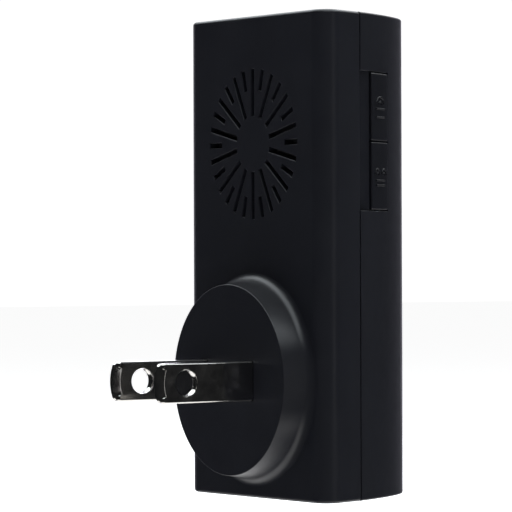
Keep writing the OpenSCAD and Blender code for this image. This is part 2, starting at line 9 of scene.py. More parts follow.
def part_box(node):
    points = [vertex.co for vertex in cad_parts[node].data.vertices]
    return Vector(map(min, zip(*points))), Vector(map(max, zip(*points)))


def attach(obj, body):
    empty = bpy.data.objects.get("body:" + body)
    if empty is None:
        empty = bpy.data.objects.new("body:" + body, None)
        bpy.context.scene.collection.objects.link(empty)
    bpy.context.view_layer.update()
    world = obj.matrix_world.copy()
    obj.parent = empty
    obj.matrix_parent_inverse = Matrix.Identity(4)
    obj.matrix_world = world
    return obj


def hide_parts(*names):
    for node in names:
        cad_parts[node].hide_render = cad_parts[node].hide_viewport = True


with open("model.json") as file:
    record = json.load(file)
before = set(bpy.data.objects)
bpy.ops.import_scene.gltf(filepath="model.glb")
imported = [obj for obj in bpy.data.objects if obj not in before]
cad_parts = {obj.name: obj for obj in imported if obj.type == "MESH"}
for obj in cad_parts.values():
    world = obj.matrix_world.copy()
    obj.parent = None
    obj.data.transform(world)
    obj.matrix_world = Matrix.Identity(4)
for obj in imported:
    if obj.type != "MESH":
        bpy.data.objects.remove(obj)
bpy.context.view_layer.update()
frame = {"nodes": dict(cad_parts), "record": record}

# Plug-in ultrasonic pest repeller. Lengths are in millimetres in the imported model's frame: +Y is the way the
# blades point, +Z is up, and the origin is the centre of the boss face. solid() turns them into metres.
MM = 0.001


def box_mm(node):
    """Lowest and highest corner of a CAD node, in millimetres."""
    low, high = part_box(node)
    return Vector(low) / MM, Vector(high) / MM


Z0, Z1 = (corner.z for corner in box_mm("rear_housing"))
BOARD_BACK_Y = box_mm("circuit_board")[1].y

# Plan outline: a flat back, two corners, two long flanks and a nose, all tangent
FLANK_R, CORNER_R, NOSE_R = 61.0, 2.8, 11.3
CORNER_WAY = math.atan2(0.28, 0.96)
NOSE_WAY = math.atan2(0.6, 0.8)
FLANK_C = (-(FLANK_R - NOSE_R) * math.cos(NOSE_WAY), CORNER_R - (FLANK_R - CORNER_R) * math.sin(CORNER_WAY))
CORNER_C = (FLANK_C[0] + (FLANK_R - CORNER_R) * math.cos(CORNER_WAY), CORNER_R)
NOSE_C = (0.0, FLANK_C[1] + (FLANK_R - NOSE_R) * math.sin(NOSE_WAY))
BODY_D = NOSE_C[1] + NOSE_R
WALL = 1.8
HOUSING_EDGE_R, COVER_EDGE_R = 0.6, 0.4
PART_D, PART_GAP, PART_EDGE = 9.1, 0.2, 0.12
HOUSING_D, COVER_D = PART_D - PART_GAP / 2, PART_D + PART_GAP / 2
LAP, LAP_GAP, LAP_INSET, TONGUE_INSET = 1.5, 0.1, 0.9, 1.0

# Boss
BACK_Y = -5.1
BOSS_R, BOSS_FLARE, BOSS_RIM = 15.44, 0.5, 0.14
FILLET_R, FILLET_SINK = 1.7, 0.03
BOSS_WALL, BOSS_HOLLOW_R = 2.2, 12.6

# Blades
BLADE_X, BLADE_T, BLADE_W, BLADE_L = 6.35, 1.52, 6.35, 18.2
HOLE_Y, HOLE_R, HOLE_EDGE = 12.7, 2.0, 0.22
BLADE_EDGE, TIP_T, TIP_SLOPE, TIP_ARCH_R, TIP_CORNER_R = 0.32, 0.7, 1.3, 7.5, 1.0
SHOULDER_Y, SHOULDER_HALF_W, TAIL_Y, TAIL_HALF_W = (-4.2, -2.2), 4.7, -4.0, 2.0
BLADE_FIT = 0.04

# Floor, under the unit
FLOOR_Z, FLOOR_HALF = -120.0, 9000.0

# Grille
GRILLE_Z, GRILLE_R, LONG_IN, SHORT_IN = 38.2, 12.2, 4.55, 8.75
SLOT_COUNT, SLOT_W, SLOT_EDGE = 28, 0.85, 0.14

# Posts inside the rear housing: radius and pilot hole of each kind
POST_R, PILOT_R, POST_ROOT, PILOT_PAST = 2.4, 1.0, 0.2, 0.1
BOARD_POST_X, BOARD_POST_FROM_END, BOARD_PILOT_L = 10.6, 5.2, 6.0
LUG_RING_R, LUG_R, LUG_PILOT_R, LUG_H, LUG_PILOT_L = 16.1, 2.0, 0.8, 3.4, 1.9
CLAMP_POST_Z, CLAMP_POST_Y, CLAMP_PILOT_L = 9.0, -4.2, 3.2

# Light pipe and its countersunk hole
PIPE_R, PIPE_DOME, PIPE_LIP_R, PIPE_TAIL_R = 1.4, 0.45, 2.1, 1.2
PIPE_HOLE_R, PIPE_MOUTH_R, PIPE_MOUTH_D = 1.45, 1.6, 0.2

# Key window
WINDOW_D, WINDOW_W, WINDOW_H, WINDOW_EDGE = 12.2, 5.9, 22.4, 0.14
WINDOW_MID_Z = 38.4
SCOOP_DEPTH, SCOOP_BACK = 0.35, 1.2
KEY_GAP, KEY_PROUD, KEY_BACK, KEY_EDGE, KEY_FLANGE = 0.13, 0.15, 2.7, 0.3, 0.5
NUB_X, NUB_BELOW, NUB_HALF = -11.9, 1.0, 1.2
RELIEF_H, RELIEF_SINK = 0.17, 0.3


# ---- Mesh helpers ----

def solid(name, verts, faces):
    """A closed mesh object from points in millimetres, with its faces turned outwards."""
    mesh = bpy.data.meshes.new(name)
    mesh.from_pydata([Vector(v) * MM for v in verts], [], faces)
    bm = bmesh.new()
    bm.from_mesh(mesh)
    bmesh.ops.remove_doubles(bm, verts=bm.verts, dist=1e-7)
    bmesh.ops.recalc_face_normals(bm, faces=bm.faces)
    bm.to_mesh(mesh)
    bm.free()
    obj = bpy.data.objects.new(name, mesh)
    bpy.context.scene.collection.objects.link(obj)
    return obj


def loft(name, rings):
    """A solid through rings of equally many points, closed by a face at each end."""
    count = len(rings[0])
    verts = [point for ring in rings for point in ring]
    faces = [tuple(range(count)), tuple(range(len(verts) - count, len(verts)))]
    for level in range(len(rings) - 1):
        low = level * count
        for i in range(count):
            j = (i + 1) % count
            faces.append((low + i, low + j, low + count + j, low + count + i))
    return solid(name, verts, faces)


def turned(name, profile, place, steps=64):
    """A solid of revolution: profile is a list of (radius, height), and place(a, b, height) gives a point."""
    rings = []
    for radius, height in profile:
        angles = [2 * math.pi * i / steps for i in range(steps)]
        rings.append([place(radius * math.cos(a), radius * math.sin(a), height) for a in angles])
    return loft(name, rings)


def along_y(x, z):
    return lambda a, b, height: (x + a, height, z + b)


def along_x(y, z):
    return lambda a, b, height: (height, y + a, z + b)


def rod(name, x, z, radius, y0, y1, steps=32):
    return turned(name, [(radius, y0), (radius, y1)], along_y(x, z), steps)


def combine(obj, others, operation):
    """Adds or cuts away other solids, which are used up."""
    for other in others:
        mod = obj.modifiers.new("boolean", "BOOLEAN")
        mod.operation = operation
        mod.solver = "MANIFOLD"
        mod.object = other
    bake_modifiers(obj)
    for other in others:
        bpy.data.objects.remove(other)
    return obj


def bake_modifiers(obj):
    graph = bpy.context.evaluated_depsgraph_get()
    mesh = bpy.data.meshes.new_from_object(obj.evaluated_get(graph))
    obj.modifiers.clear()
    obj.data = mesh


def finish_surface(obj, sharp_deg=38):
    """Cleans the mesh, keeps its real edges sharp, and lets its large faces set the normals of the rest."""
    bm = bmesh.new()
    bm.from_mesh(obj.data)
    bmesh.ops.remove_doubles(bm, verts=bm.verts, dist=2e-7)
    bmesh.ops.dissolve_degenerate(bm, edges=bm.edges, dist=1e-7)
    bmesh.ops.dissolve_limit(
        bm, angle_limit=math.radians(0.4), verts=bm.verts, edges=bm.edges, delimit={"NORMAL"}
    )
    bmesh.ops.recalc_face_normals(bm, faces=bm.faces)
    bm.to_mesh(obj.data)
    bm.free()
    obj.data.polygons.foreach_set("use_smooth", [True] * len(obj.data.polygons))
    obj.data.set_sharp_from_angle(angle=math.radians(sharp_deg))
    mod = obj.modifiers.new("normals", "WEIGHTED_NORMAL")
    mod.mode = "FACE_AREA"
    mod.keep_sharp = True
    bake_modifiers(obj)


def place_piece(obj, body, node, material):
    obj.data.materials.clear()
    obj.data.materials.append(material)
    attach(obj, body)
    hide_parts(node)
    return obj


# ---- Outline of the body ----

def on_arc(centre, radius, inset, angle):
    return (centre[0] + (radius - inset) * math.cos(angle), centre[1] + (radius - inset) * math.sin(angle))


def flank_angle(depth, inset):
    return math.asin((depth - FLANK_C[1]) / (FLANK_R - inset))


def flank_x(depth, inset):
    """Half-width of the body at a depth, inside its outline by inset."""
    return FLANK_C[0] + math.sqrt((FLANK_R - inset) ** 2 - (depth - FLANK_C[1]) ** 2)


def spread(a, b, steps):
    return [a + (b - a) * i / steps for i in range(steps + 1)]


def both_sides(half):
    """Half an outline from +X to the middle, then its mirror image."""
    mirrored = [(-x, d) for x, d in reversed(half)]
    if abs(half[-1][0]) < 1e-6:
        mirrored = mirrored[1:]
    return half + mirrored


def rounded_end(depth, inset, edge, way):
    """Where half an outline meets the parting plane: way is -1 for the rear shell and 1 for the front one."""
    if not edge:
        return [(flank_x(depth, inset), depth)]
    points = []
    for a in spread(math.pi / 2, 0, 3):
        d = depth + way * edge * (1 - math.sin(a))
        points.append((flank_x(d, inset + edge * (1 - math.cos(a))), d))
    return points


def rear_outline(inset, depth, edge=0.0):
    """The outline behind a plane at that depth."""
    start = flank_angle(depth - edge, inset)
    half = rounded_end(depth, inset, edge, -1)
    half += [on_arc(FLANK_C, FLANK_R, inset, a) for a in spread(start, CORNER_WAY, 8)[1:]]
    half += [on_arc(CORNER_C, CORNER_R, inset, a) for a in spread(CORNER_WAY, -math.pi / 2, 24)[1:]]
    return both_sides(half)


def front_outline(inset, depth, edge=0.0):
    """The outline in front of a plane at that depth."""
    start = flank_angle(depth + edge, inset)
    half = rounded_end(depth, inset, edge, 1)
    half += [on_arc(FLANK_C, FLANK_R, inset, a) for a in spread(start, NOSE_WAY, 28)[1:]]
    half += [on_arc(NOSE_C, NOSE_R, inset, a) for a in spread(NOSE_WAY, math.pi / 2, 24)[1:]]
    return both_sides(half)


def upright(name, levels):
    """A solid from plan outlines at heights: levels is a list of (outline, z)."""
    return loft(name, [[(x, BACK_Y - d, z) for x, d in outline] for outline, z in levels])


def rounded_levels(edge_r, outline_at):
    """Levels of the whole height, with the top and bottom edges rounded by edge_r."""
    levels = []
    for a in spread(0, math.pi / 2, 6):
        levels.append((outline_at(edge_r * (1 - math.sin(a))), Z0 + edge_r * (1 - math.cos(a))))
    return levels + [(outline, Z0 + Z1 - z) for outline, z in reversed(levels)]


def band(name, inset, d0, d1):
    """A solid between two depths, inside the outline by inset all round."""
    right = [(flank_x(d, inset), d) for d in spread(d0, d1, 3)]
    outline = right + [(-x, d) for x, d in reversed(right)]
    return upright(name, [(outline, Z0 + inset), (outline, Z1 - inset)])


def rounding(radius, depth):
    """How far a rounded mouth is wider than its hole at a depth under the surface."""
    return radius - math.sqrt(radius ** 2 - (radius - depth) ** 2)


def rounding_levels(radius, steps=3):
    """(depth under the surface, growth) of a rounded mouth, from well above the surface."""
    levels = [(-2.0, radius), (0.0, radius)]
    return levels + [(t, rounding(radius, t)) for t in spread(0, radius, steps)[1:]]


def window_ring(d0, d1, z0, z1, x_at):
    """A four-sided ring on the keys' side, whose long edges follow the half-width x_at(depth)."""
    ring = [(-x_at(d), BACK_Y - d, z0) for d in spread(d0, d1, 8)]
    return ring + [(-x_at(d), BACK_Y - d, z1) for d in spread(d1, d0, 8)]


def key_window(z0, z1):
    """Cutter for the window that the keys fill, with a rounded mouth."""
    rings = []
    for t, grow in rounding_levels(WINDOW_EDGE) + [(WALL + 1, 0.0)]:
        ring = window_ring(
            WINDOW_D - grow, WINDOW_D + WINDOW_W + grow, z0 - grow, z1 + grow, lambda d: flank_x(d, t)
        )
        rings.append(ring)
    return loft("window", rings)


def finger_scoop(z0, z1):
    """Cutter for the recess behind the keys: its flat floor is deepest at the parting plane."""
    d0, d1 = COVER_D - 0.01, WINDOW_D + 0.2
    back, front = flank_x(d0, 0) - SCOOP_BACK, flank_x(WINDOW_D, 0) - SCOOP_DEPTH
    slope = (front - back) / (WINDOW_D - d0)
    rings = []
    for t, grow in rounding_levels(WINDOW_EDGE):
        rings.append(window_ring(d0, d1, z0 - grow, z1 + grow, lambda d: flank_x(d, t)))
    rings.append(window_ring(d0, d1, z0, z1, lambda d: back + slope * (d - d0)))
    return loft("scoop", rings)


# ---- Shells ----

def fillet_centre(angle):
    """Centre of the ball that rolls round the boss's foot, and the way from it to the body's surface."""
    radius = BOSS_R + BOSS_FLARE + FILLET_R
    x, z = radius * math.sin(angle), radius * math.cos(angle)
    over = abs(x) - CORNER_C[0]
    if over <= 0:
        return Vector((x, FILLET_SINK - FILLET_R, z)), Vector((0, 1, 0))
    reach = CORNER_R + FILLET_R - FILLET_SINK
    d = CORNER_R - math.sqrt(reach ** 2 - over ** 2)
    way = Vector((math.copysign(CORNER_C[0], x) - x, CORNER_R - d, 0)).normalized()
    return Vector((x, d, z)), way


def boss():
    """The round boss with a rounded rim and a fillet that flows over the body's rounded corners."""
    steps = 192
    angles = [2 * math.pi * i / steps for i in range(steps)]
    rings = []
    for a in spread(0, math.pi / 2, 4):
        radius, y = BOSS_R - BOSS_RIM * (1 - math.sin(a)), -BOSS_RIM * (1 - math.cos(a))
        rings.append([(radius * math.sin(t), y, radius * math.cos(t)) for t in angles])
    arc_steps = 12
    arcs = [[] for _ in range(arc_steps + 1)]
    for t in angles:
        centre, down = fillet_centre(t)
        out = Vector((-math.sin(t), 0, -math.cos(t)))
        turn = out.rotation_difference(down)
        for i in range(arc_steps + 1):
            way = Quaternion().slerp(turn, i / arc_steps) @ out
            point = centre + way * FILLET_R
            arcs[i].append((point.x, BACK_Y - point.y, point.z))
    rings += arcs
    for radius, depth in [(BOSS_R, 1.2), (BOSS_R - 1, 1.5)]:
        rings.append([(radius * math.sin(t), BACK_Y - depth, radius * math.cos(t)) for t in angles])
    return loft("boss", rings)


def slot_cutter(index):
    """A radial slot with softly rounded edges, running through the back wall."""
    angle = 2 * math.pi * index / SLOT_COUNT
    inner = LONG_IN if index % 2 == 0 else SHORT_IN
    across = Vector((math.cos(angle), 0, -math.sin(angle)))
    out = Vector((math.sin(angle), 0, math.cos(angle)))
    rings = []
    for t, grow in rounding_levels(SLOT_EDGE) + [(WALL + 1, 0.0)]:
        base = Vector((0, BACK_Y - t, GRILLE_Z))
        half = SLOT_W / 2 + grow
        low, high = inner - grow, GRILLE_R + grow
        corners = [(-half, low), (half, low), (half, high), (-half, high)]
        rings.append([base + across * a + out * b for a, b in corners])
    return loft("slot", rings)


def board_post_places():
    ends = (Z0 + BOARD_POST_FROM_END, Z1 - BOARD_POST_FROM_END)
    return [(x, z) for x in (-BOARD_POST_X, BOARD_POST_X) for z in ends]


def sounder_lug_places():
    angles = [math.radians(a) for a in (90, 210, 330)]
    return [(LUG_RING_R * math.cos(a), GRILLE_Z + LUG_RING_R * math.sin(a)) for a in angles]


def inner_posts():
    """Posts for the circuit board, the sounder and the blade carrier, and the pilot holes of their screws."""
    clamp_places = [(0, -CLAMP_POST_Z), (0, CLAMP_POST_Z)]
    wall_y, boss_y = BACK_Y - WALL + POST_ROOT, -BOSS_WALL + POST_ROOT
    kinds = [
        (board_post_places(), POST_R, PILOT_R, wall_y, BOARD_BACK_Y, BOARD_PILOT_L),
        (sounder_lug_places(), LUG_R, LUG_PILOT_R, wall_y, BACK_Y - LUG_H, LUG_PILOT_L),
        (clamp_places, POST_R, PILOT_R, boss_y, CLAMP_POST_Y, CLAMP_PILOT_L),
    ]
    posts, pilots = [], []
    for places, post_r, pilot_r, root_y, top_y, pilot_l in kinds:
        for x, z in places:
            posts.append(rod("post", x, z, post_r, root_y, top_y))
            pilots.append(rod("pilot", x, z, pilot_r, top_y + pilot_l, top_y - PILOT_PAST, 24))
    return posts, pilots


def rear_housing():
    levels = rounded_levels(HOUSING_EDGE_R, lambda inset: rear_outline(inset, HOUSING_D, PART_EDGE))
    shell = upright("rear_housing_shell", levels)
    combine(shell, [boss()], "UNION")
    inner = rear_outline(WALL, PART_D + 1)
    cavity = upright("cavity", [(inner, Z0 + WALL), (inner, Z1 - WALL)])
    lap = band("lap", LAP_INSET, PART_D - LAP, PART_D + 0.5)
    hollow = rod("hollow", 0, 0, BOSS_HOLLOW_R, -BOSS_WALL, BACK_Y - WALL - 0.1, 96)
    combine(shell, [cavity, lap, hollow], "DIFFERENCE")
    posts, pilots = inner_posts()
    combine(shell, posts, "UNION")
    slots = [slot_cutter(i) for i in range(SLOT_COUNT)]
    blade_slots = [blade_slot(x) for x in (-BLADE_X, BLADE_X)]
    combine(shell, slots + pilots + blade_slots, "DIFFERENCE")
    finish_surface(shell)
    return shell


def blade_slot(x):
    """The close-fitting slot that a blade stands in."""
    rings = []
    for t, grow in rounding_levels(0.08, 2) + [(BOSS_WALL + 0.6, 0.0)]:
        half_t, half_w = BLADE_T / 2 + BLADE_FIT + grow, BLADE_W / 2 + BLADE_FIT + grow
        corners = [(-half_t, -half_w), (half_t, -half_w), (half_t, half_w), (-half_t, half_w)]
        rings.append([(x + a, -t, b) for a, b in corners])
    return loft("blade_slot", rings)


def front_cover():
    levels = rounded_levels(COVER_EDGE_R, lambda inset: front_outline(inset, COVER_D, PART_EDGE))
    shell = upright("front_cover_shell", levels)
    tongue_d = PART_D - LAP + LAP_GAP
    combine(shell, [band("tongue", TONGUE_INSET, tongue_d, PART_D + 1)], "UNION")
    inner = front_outline(WALL, tongue_d - 1)
    cavity = upright("cavity", [(inner, Z0 + WALL), (inner, Z1 - WALL)])
    low, high = WINDOW_MID_Z - WINDOW_H / 2, WINDOW_MID_Z + WINDOW_H / 2
    combine(shell, [cavity, finger_scoop(low, high), key_window(low, high), pipe_hole()], "DIFFERENCE")
    finish_surface(shell)
    return shell


def pipe_hole():
    """Cutter for the light pipe's hole in the nose, with a small countersink."""
    low, high = box_mm("light_pipe")
    nose_y = BACK_Y - BODY_D
    profile = [(PIPE_MOUTH_R, nose_y - 1), (PIPE_MOUTH_R, nose_y + 0.02)]
    profile += [(PIPE_HOLE_R, nose_y + PIPE_MOUTH_D), (PIPE_HOLE_R, nose_y + 3)]
    return turned("hole", profile, along_y(0, (low.z + high.z) / 2), 64)


def light_pipe():
    """A small domed lens with a retaining lip behind it."""
    low, high = box_mm("light_pipe")
    dome = [(PIPE_R * math.sin(a), PIPE_DOME * (1 - math.cos(a))) for a in spread(0.08, math.pi / 2, 8)]
    lip = [(PIPE_R, 2.0), (PIPE_LIP_R, 2.05), (PIPE_LIP_R, 2.9), (PIPE_R, 3.0)]
    profile = [(radius, low.y + depth) for radius, depth in dome + lip]
    profile += [(PIPE_R, high.y - (PIPE_R - PIPE_TAIL_R)), (PIPE_TAIL_R, high.y)]
    lens = turned("light_pipe_lens", profile, along_y(0, (low.z + high.z) / 2), 64)
    finish_surface(lens)
    return lens


# ---- Keys ----

def key_cap(name, z0, z1):
    """A key whose face follows the flank, with all four edges and corners rounded."""
    d0, d1 = WINDOW_D + KEY_GAP, WINDOW_D + WINDOW_W - KEY_GAP
    edge = [KEY_EDGE * (1 - math.cos(a)) for a in spread(0, math.pi / 2, 6)]
    depths = [d0 + e for e in edge] + spread(d0 + KEY_EDGE, d1 - KEY_EDGE, 12)[1:-1]
    depths += [d1 - e for e in reversed(edge)]
    heights = [z0 + e for e in edge] + spread(z0 + KEY_EDGE, z1 - KEY_EDGE, 4)[1:-1]
    heights += [z1 - e for e in reversed(edge)]

    def top(d, z):
        """Face point of the key, with the square corner of the grid drawn in to a quarter circle."""
        a = max(0.0, d0 + KEY_EDGE - d, d - d1 + KEY_EDGE) / KEY_EDGE
        b = max(0.0, z0 + KEY_EDGE - z, z - z1 + KEY_EDGE) / KEY_EDGE
        reach = math.hypot(a, b)
        if a > 0 and b > 0:
            scale = max(a, b) / reach
            d -= math.copysign(a * (1 - scale) * KEY_EDGE, d - (d0 + d1) / 2)
            z -= math.copysign(b * (1 - scale) * KEY_EDGE, z - (z0 + z1) / 2)
            reach = max(a, b)
        drop = KEY_EDGE * (1 - math.sqrt(max(0.0, 1 - reach * reach)))
        return d, z, drop

    verts, faces, index = [], [], {}
    for i, d in enumerate(depths):
        for j, z in enumerate(heights):
            dd, zz, drop = top(d, z)
            index[i, j] = len(verts)
            verts.append((-flank_x(dd, drop - KEY_PROUD), BACK_Y - dd, zz))
    last_i, last_j = len(depths) - 1, len(heights) - 1
    for i in range(last_i):
        for j in range(last_j):
            faces.append((index[i, j], index[i + 1, j], index[i + 1, j + 1], index[i, j + 1]))
    border = [(i, 0) for i in range(last_i)] + [(last_i, j) for j in range(last_j)]
    border += [(i, last_j) for i in range(last_i, 0, -1)] + [(0, j) for j in range(last_j, 0, -1)]
    rim = [index[key] for key in border]
    foot = []
    for v in rim:
        x, y, z = verts[v]
        foot.append(len(verts))
        verts.append((-flank_x(BACK_Y - y, KEY_BACK), y, z))
    count = len(rim)
    for i in range(count):
        j = (i + 1) % count
        faces.append((rim[i], rim[j], foot[j], foot[i]))
    faces.append(tuple(foot))
    return solid(name, verts, faces)


def key_flange(z0, z1):
    """The lip inside the wall that keeps a key from coming out of its window."""
    d0, d1 = WINDOW_D + KEY_GAP - KEY_FLANGE, WINDOW_D + WINDOW_W - KEY_GAP + KEY_FLANGE
    rings = []
    for inset in (WALL + 0.05, KEY_BACK):
        rings.append(window_ring(d0, d1, z0 + 0.01, z1 - 0.01, lambda d: flank_x(d, inset)))
    return loft("flange", rings)


def block(name, low, high):
    x0, y0, z0 = low
    x1, y1, z1 = high
    return loft(name, [[(x0, y0, z), (x1, y0, z), (x1, y1, z), (x0, y1, z)] for z in (z0, z1)])


def relief(path, width):
    """A raised line on a key's face, with sloping sides. path is a list of (depth, z)."""
    left, right = [], []
    for i, (d, z) in enumerate(path):
        before, after = path[max(i - 1, 0)], path[min(i + 1, len(path) - 1)]
        run, rise = after[0] - before[0], after[1] - before[1]
        length = math.hypot(run, rise)
        left.append((-rise / length, run / length))
        right.append((rise / length, -run / length))
    rings = []
    levels = [(-RELIEF_SINK, width / 2), (0, width / 2)]
    levels += [(RELIEF_H * 0.7, width / 2 - 0.04), (RELIEF_H, width / 2 - 0.1)]
    for proud, half in levels:
        inset = -KEY_PROUD - proud
        edge = [(d + n[0] * half, z + n[1] * half) for (d, z), n in zip(path, left)]
        edge += [(d + n[0] * half, z + n[1] * half) for (d, z), n in reversed(list(zip(path, right)))]
        rings.append([(-flank_x(d, inset), BACK_Y - d, z) for d, z in edge])
    return loft("relief", rings)


def bar(d, z):
    return relief([(d - 1.35, z), (d, z), (d + 1.35, z)], 0.34)


def wave(d, z, wide, tall):
    """Two nested arcs, like a sound wave seen from its source."""
    shapes = []
    for scale, width in ((1.0, 0.32), (0.42, 0.3)):
        angles = [math.radians(a) for a in spread(8, 172, 14)]
        path = [(d + wide * scale * math.cos(a), z + tall * scale * math.sin(a)) for a in angles]
        shapes.append(relief(path, width))
    return shapes


def sound_icon(d, z, loud):
    """Generic pictogram: one or two sound waves over a short stack of bars."""
    if loud:
        shapes = [bar(d, z - 0.75), bar(d, z - 1.5)]
        return shapes + wave(d - 0.95, z + 0.1, 0.75, 1.05) + wave(d + 1.25, z + 0.1, 0.75, 1.05)
    return [bar(d, z - 0.3), bar(d, z - 1.65)] + wave(d, z + 0.4, 1.3, 1.2)


def key(name, loud):
    low, high = box_mm(name)
    z0, z1 = low.z, high.z
    cap = key_cap(name + "_cap", z0, z1)
    middle_d, middle_z = WINDOW_D + WINDOW_W / 2, (z0 + z1) / 2
    middle_y = BACK_Y - middle_d
    nub_low = (NUB_X, middle_y - NUB_BELOW, middle_z - NUB_HALF)
    nub_high = (high.x, middle_y + NUB_HALF, middle_z + NUB_HALF)
    additions = [key_flange(z0, z1), block("nub", nub_low, nub_high)]
    combine(cap, additions + sound_icon(middle_d, middle_z, loud), "UNION")
    finish_surface(cap, sharp_deg=50)
    return cap


# ---- Blades ----

def blade_outline():
    """Side outline of a blade from its root, as (y, z, outward normal, tip weight) all the way round."""
    corner_z = BLADE_W / 2 - TIP_CORNER_R
    arch_y = BLADE_L - TIP_ARCH_R
    corner_y = arch_y + math.sqrt((TIP_ARCH_R - TIP_CORNER_R) ** 2 - corner_z ** 2)
    meet = math.atan2(corner_z, corner_y - arch_y)
    root_y = -BOSS_WALL - 1
    upper = [(y, BLADE_W / 2, (0.0, 1.0), 0.0) for y in (root_y, 0.0, corner_y - 2.5, corner_y - 0.6)]
    for k, a in enumerate(spread(math.pi / 2, meet, 8)):
        n = (math.cos(a), math.sin(a))
        upper.append((corner_y + n[0] * TIP_CORNER_R, corner_z + n[1] * TIP_CORNER_R, n, k / 8))
    for a in spread(meet, 0, 8)[1:]:
        n = (math.cos(a), math.sin(a))
        upper.append((arch_y + n[0] * TIP_ARCH_R, n[1] * TIP_ARCH_R, n, 1.0))
    lower = [(y, -z, (n[0], -n[1]), w) for y, z, n, w in reversed(upper[:-1])]
    return upper + lower


def blade(name, side):
    outline = blade_outline()
    half = BLADE_T / 2
    levels = []
    for u in spread(0, 1, 8):
        turn = u * math.pi / 2
        ring = []
        for y, z, n, w in outline:
            inset_edge = BLADE_EDGE * (1 - math.cos(turn))
            x_edge = half - BLADE_EDGE * (1 - math.sin(turn))
            inset_tip = TIP_SLOPE * u
            x_tip = TIP_T / 2 + (half - TIP_T / 2) * min(1.0, u * 1.02)
            inset = inset_edge + (inset_tip - inset_edge) * w
            ring.append((x_edge + (x_tip - x_edge) * w, y - n[0] * inset, z - n[1] * inset))
        levels.append(ring)
    rings = [[(-x, y, z) for x, y, z in ring] for ring in reversed(levels)] + levels
    rings = [[(side * BLADE_X + x, y, z) for x, y, z in ring] for ring in rings]
    plate = loft(name + "_plate", rings)
    low, high = box_mm(name)
    x0, x1 = side * BLADE_X - half, side * BLADE_X + half
    shoulder_low = (x0, SHOULDER_Y[0], -SHOULDER_HALF_W)
    shoulder_high = (x1, SHOULDER_Y[1], SHOULDER_HALF_W)
    shoulder = block("shoulder", shoulder_low, shoulder_high)
    tail = block("tail", (x0, low.y, -TAIL_HALF_W), (x1, TAIL_Y, TAIL_HALF_W))
    combine(plate, [shoulder, tail], "UNION")
    combine(plate, [blade_hole(side)], "DIFFERENCE")
    finish_surface(plate, sharp_deg=20)
    return plate


def blade_hole(side):
    """Cutter for a blade's hole, rounded at both faces."""
    half = BLADE_T / 2
    mouth = [(half + 1, HOLE_EDGE), (half, HOLE_EDGE)]
    mouth += [(half - t, rounding(HOLE_EDGE, t)) for t in spread(0, HOLE_EDGE, 4)[1:]]
    profile = [(HOLE_R + grow, side * BLADE_X + x) for x, grow in mouth]
    profile += [(HOLE_R + grow, side * BLADE_X - x) for x, grow in reversed(mouth)]
    return turned("hole", profile, along_x(HOLE_Y, 0), 96)


# ---- Materials ----

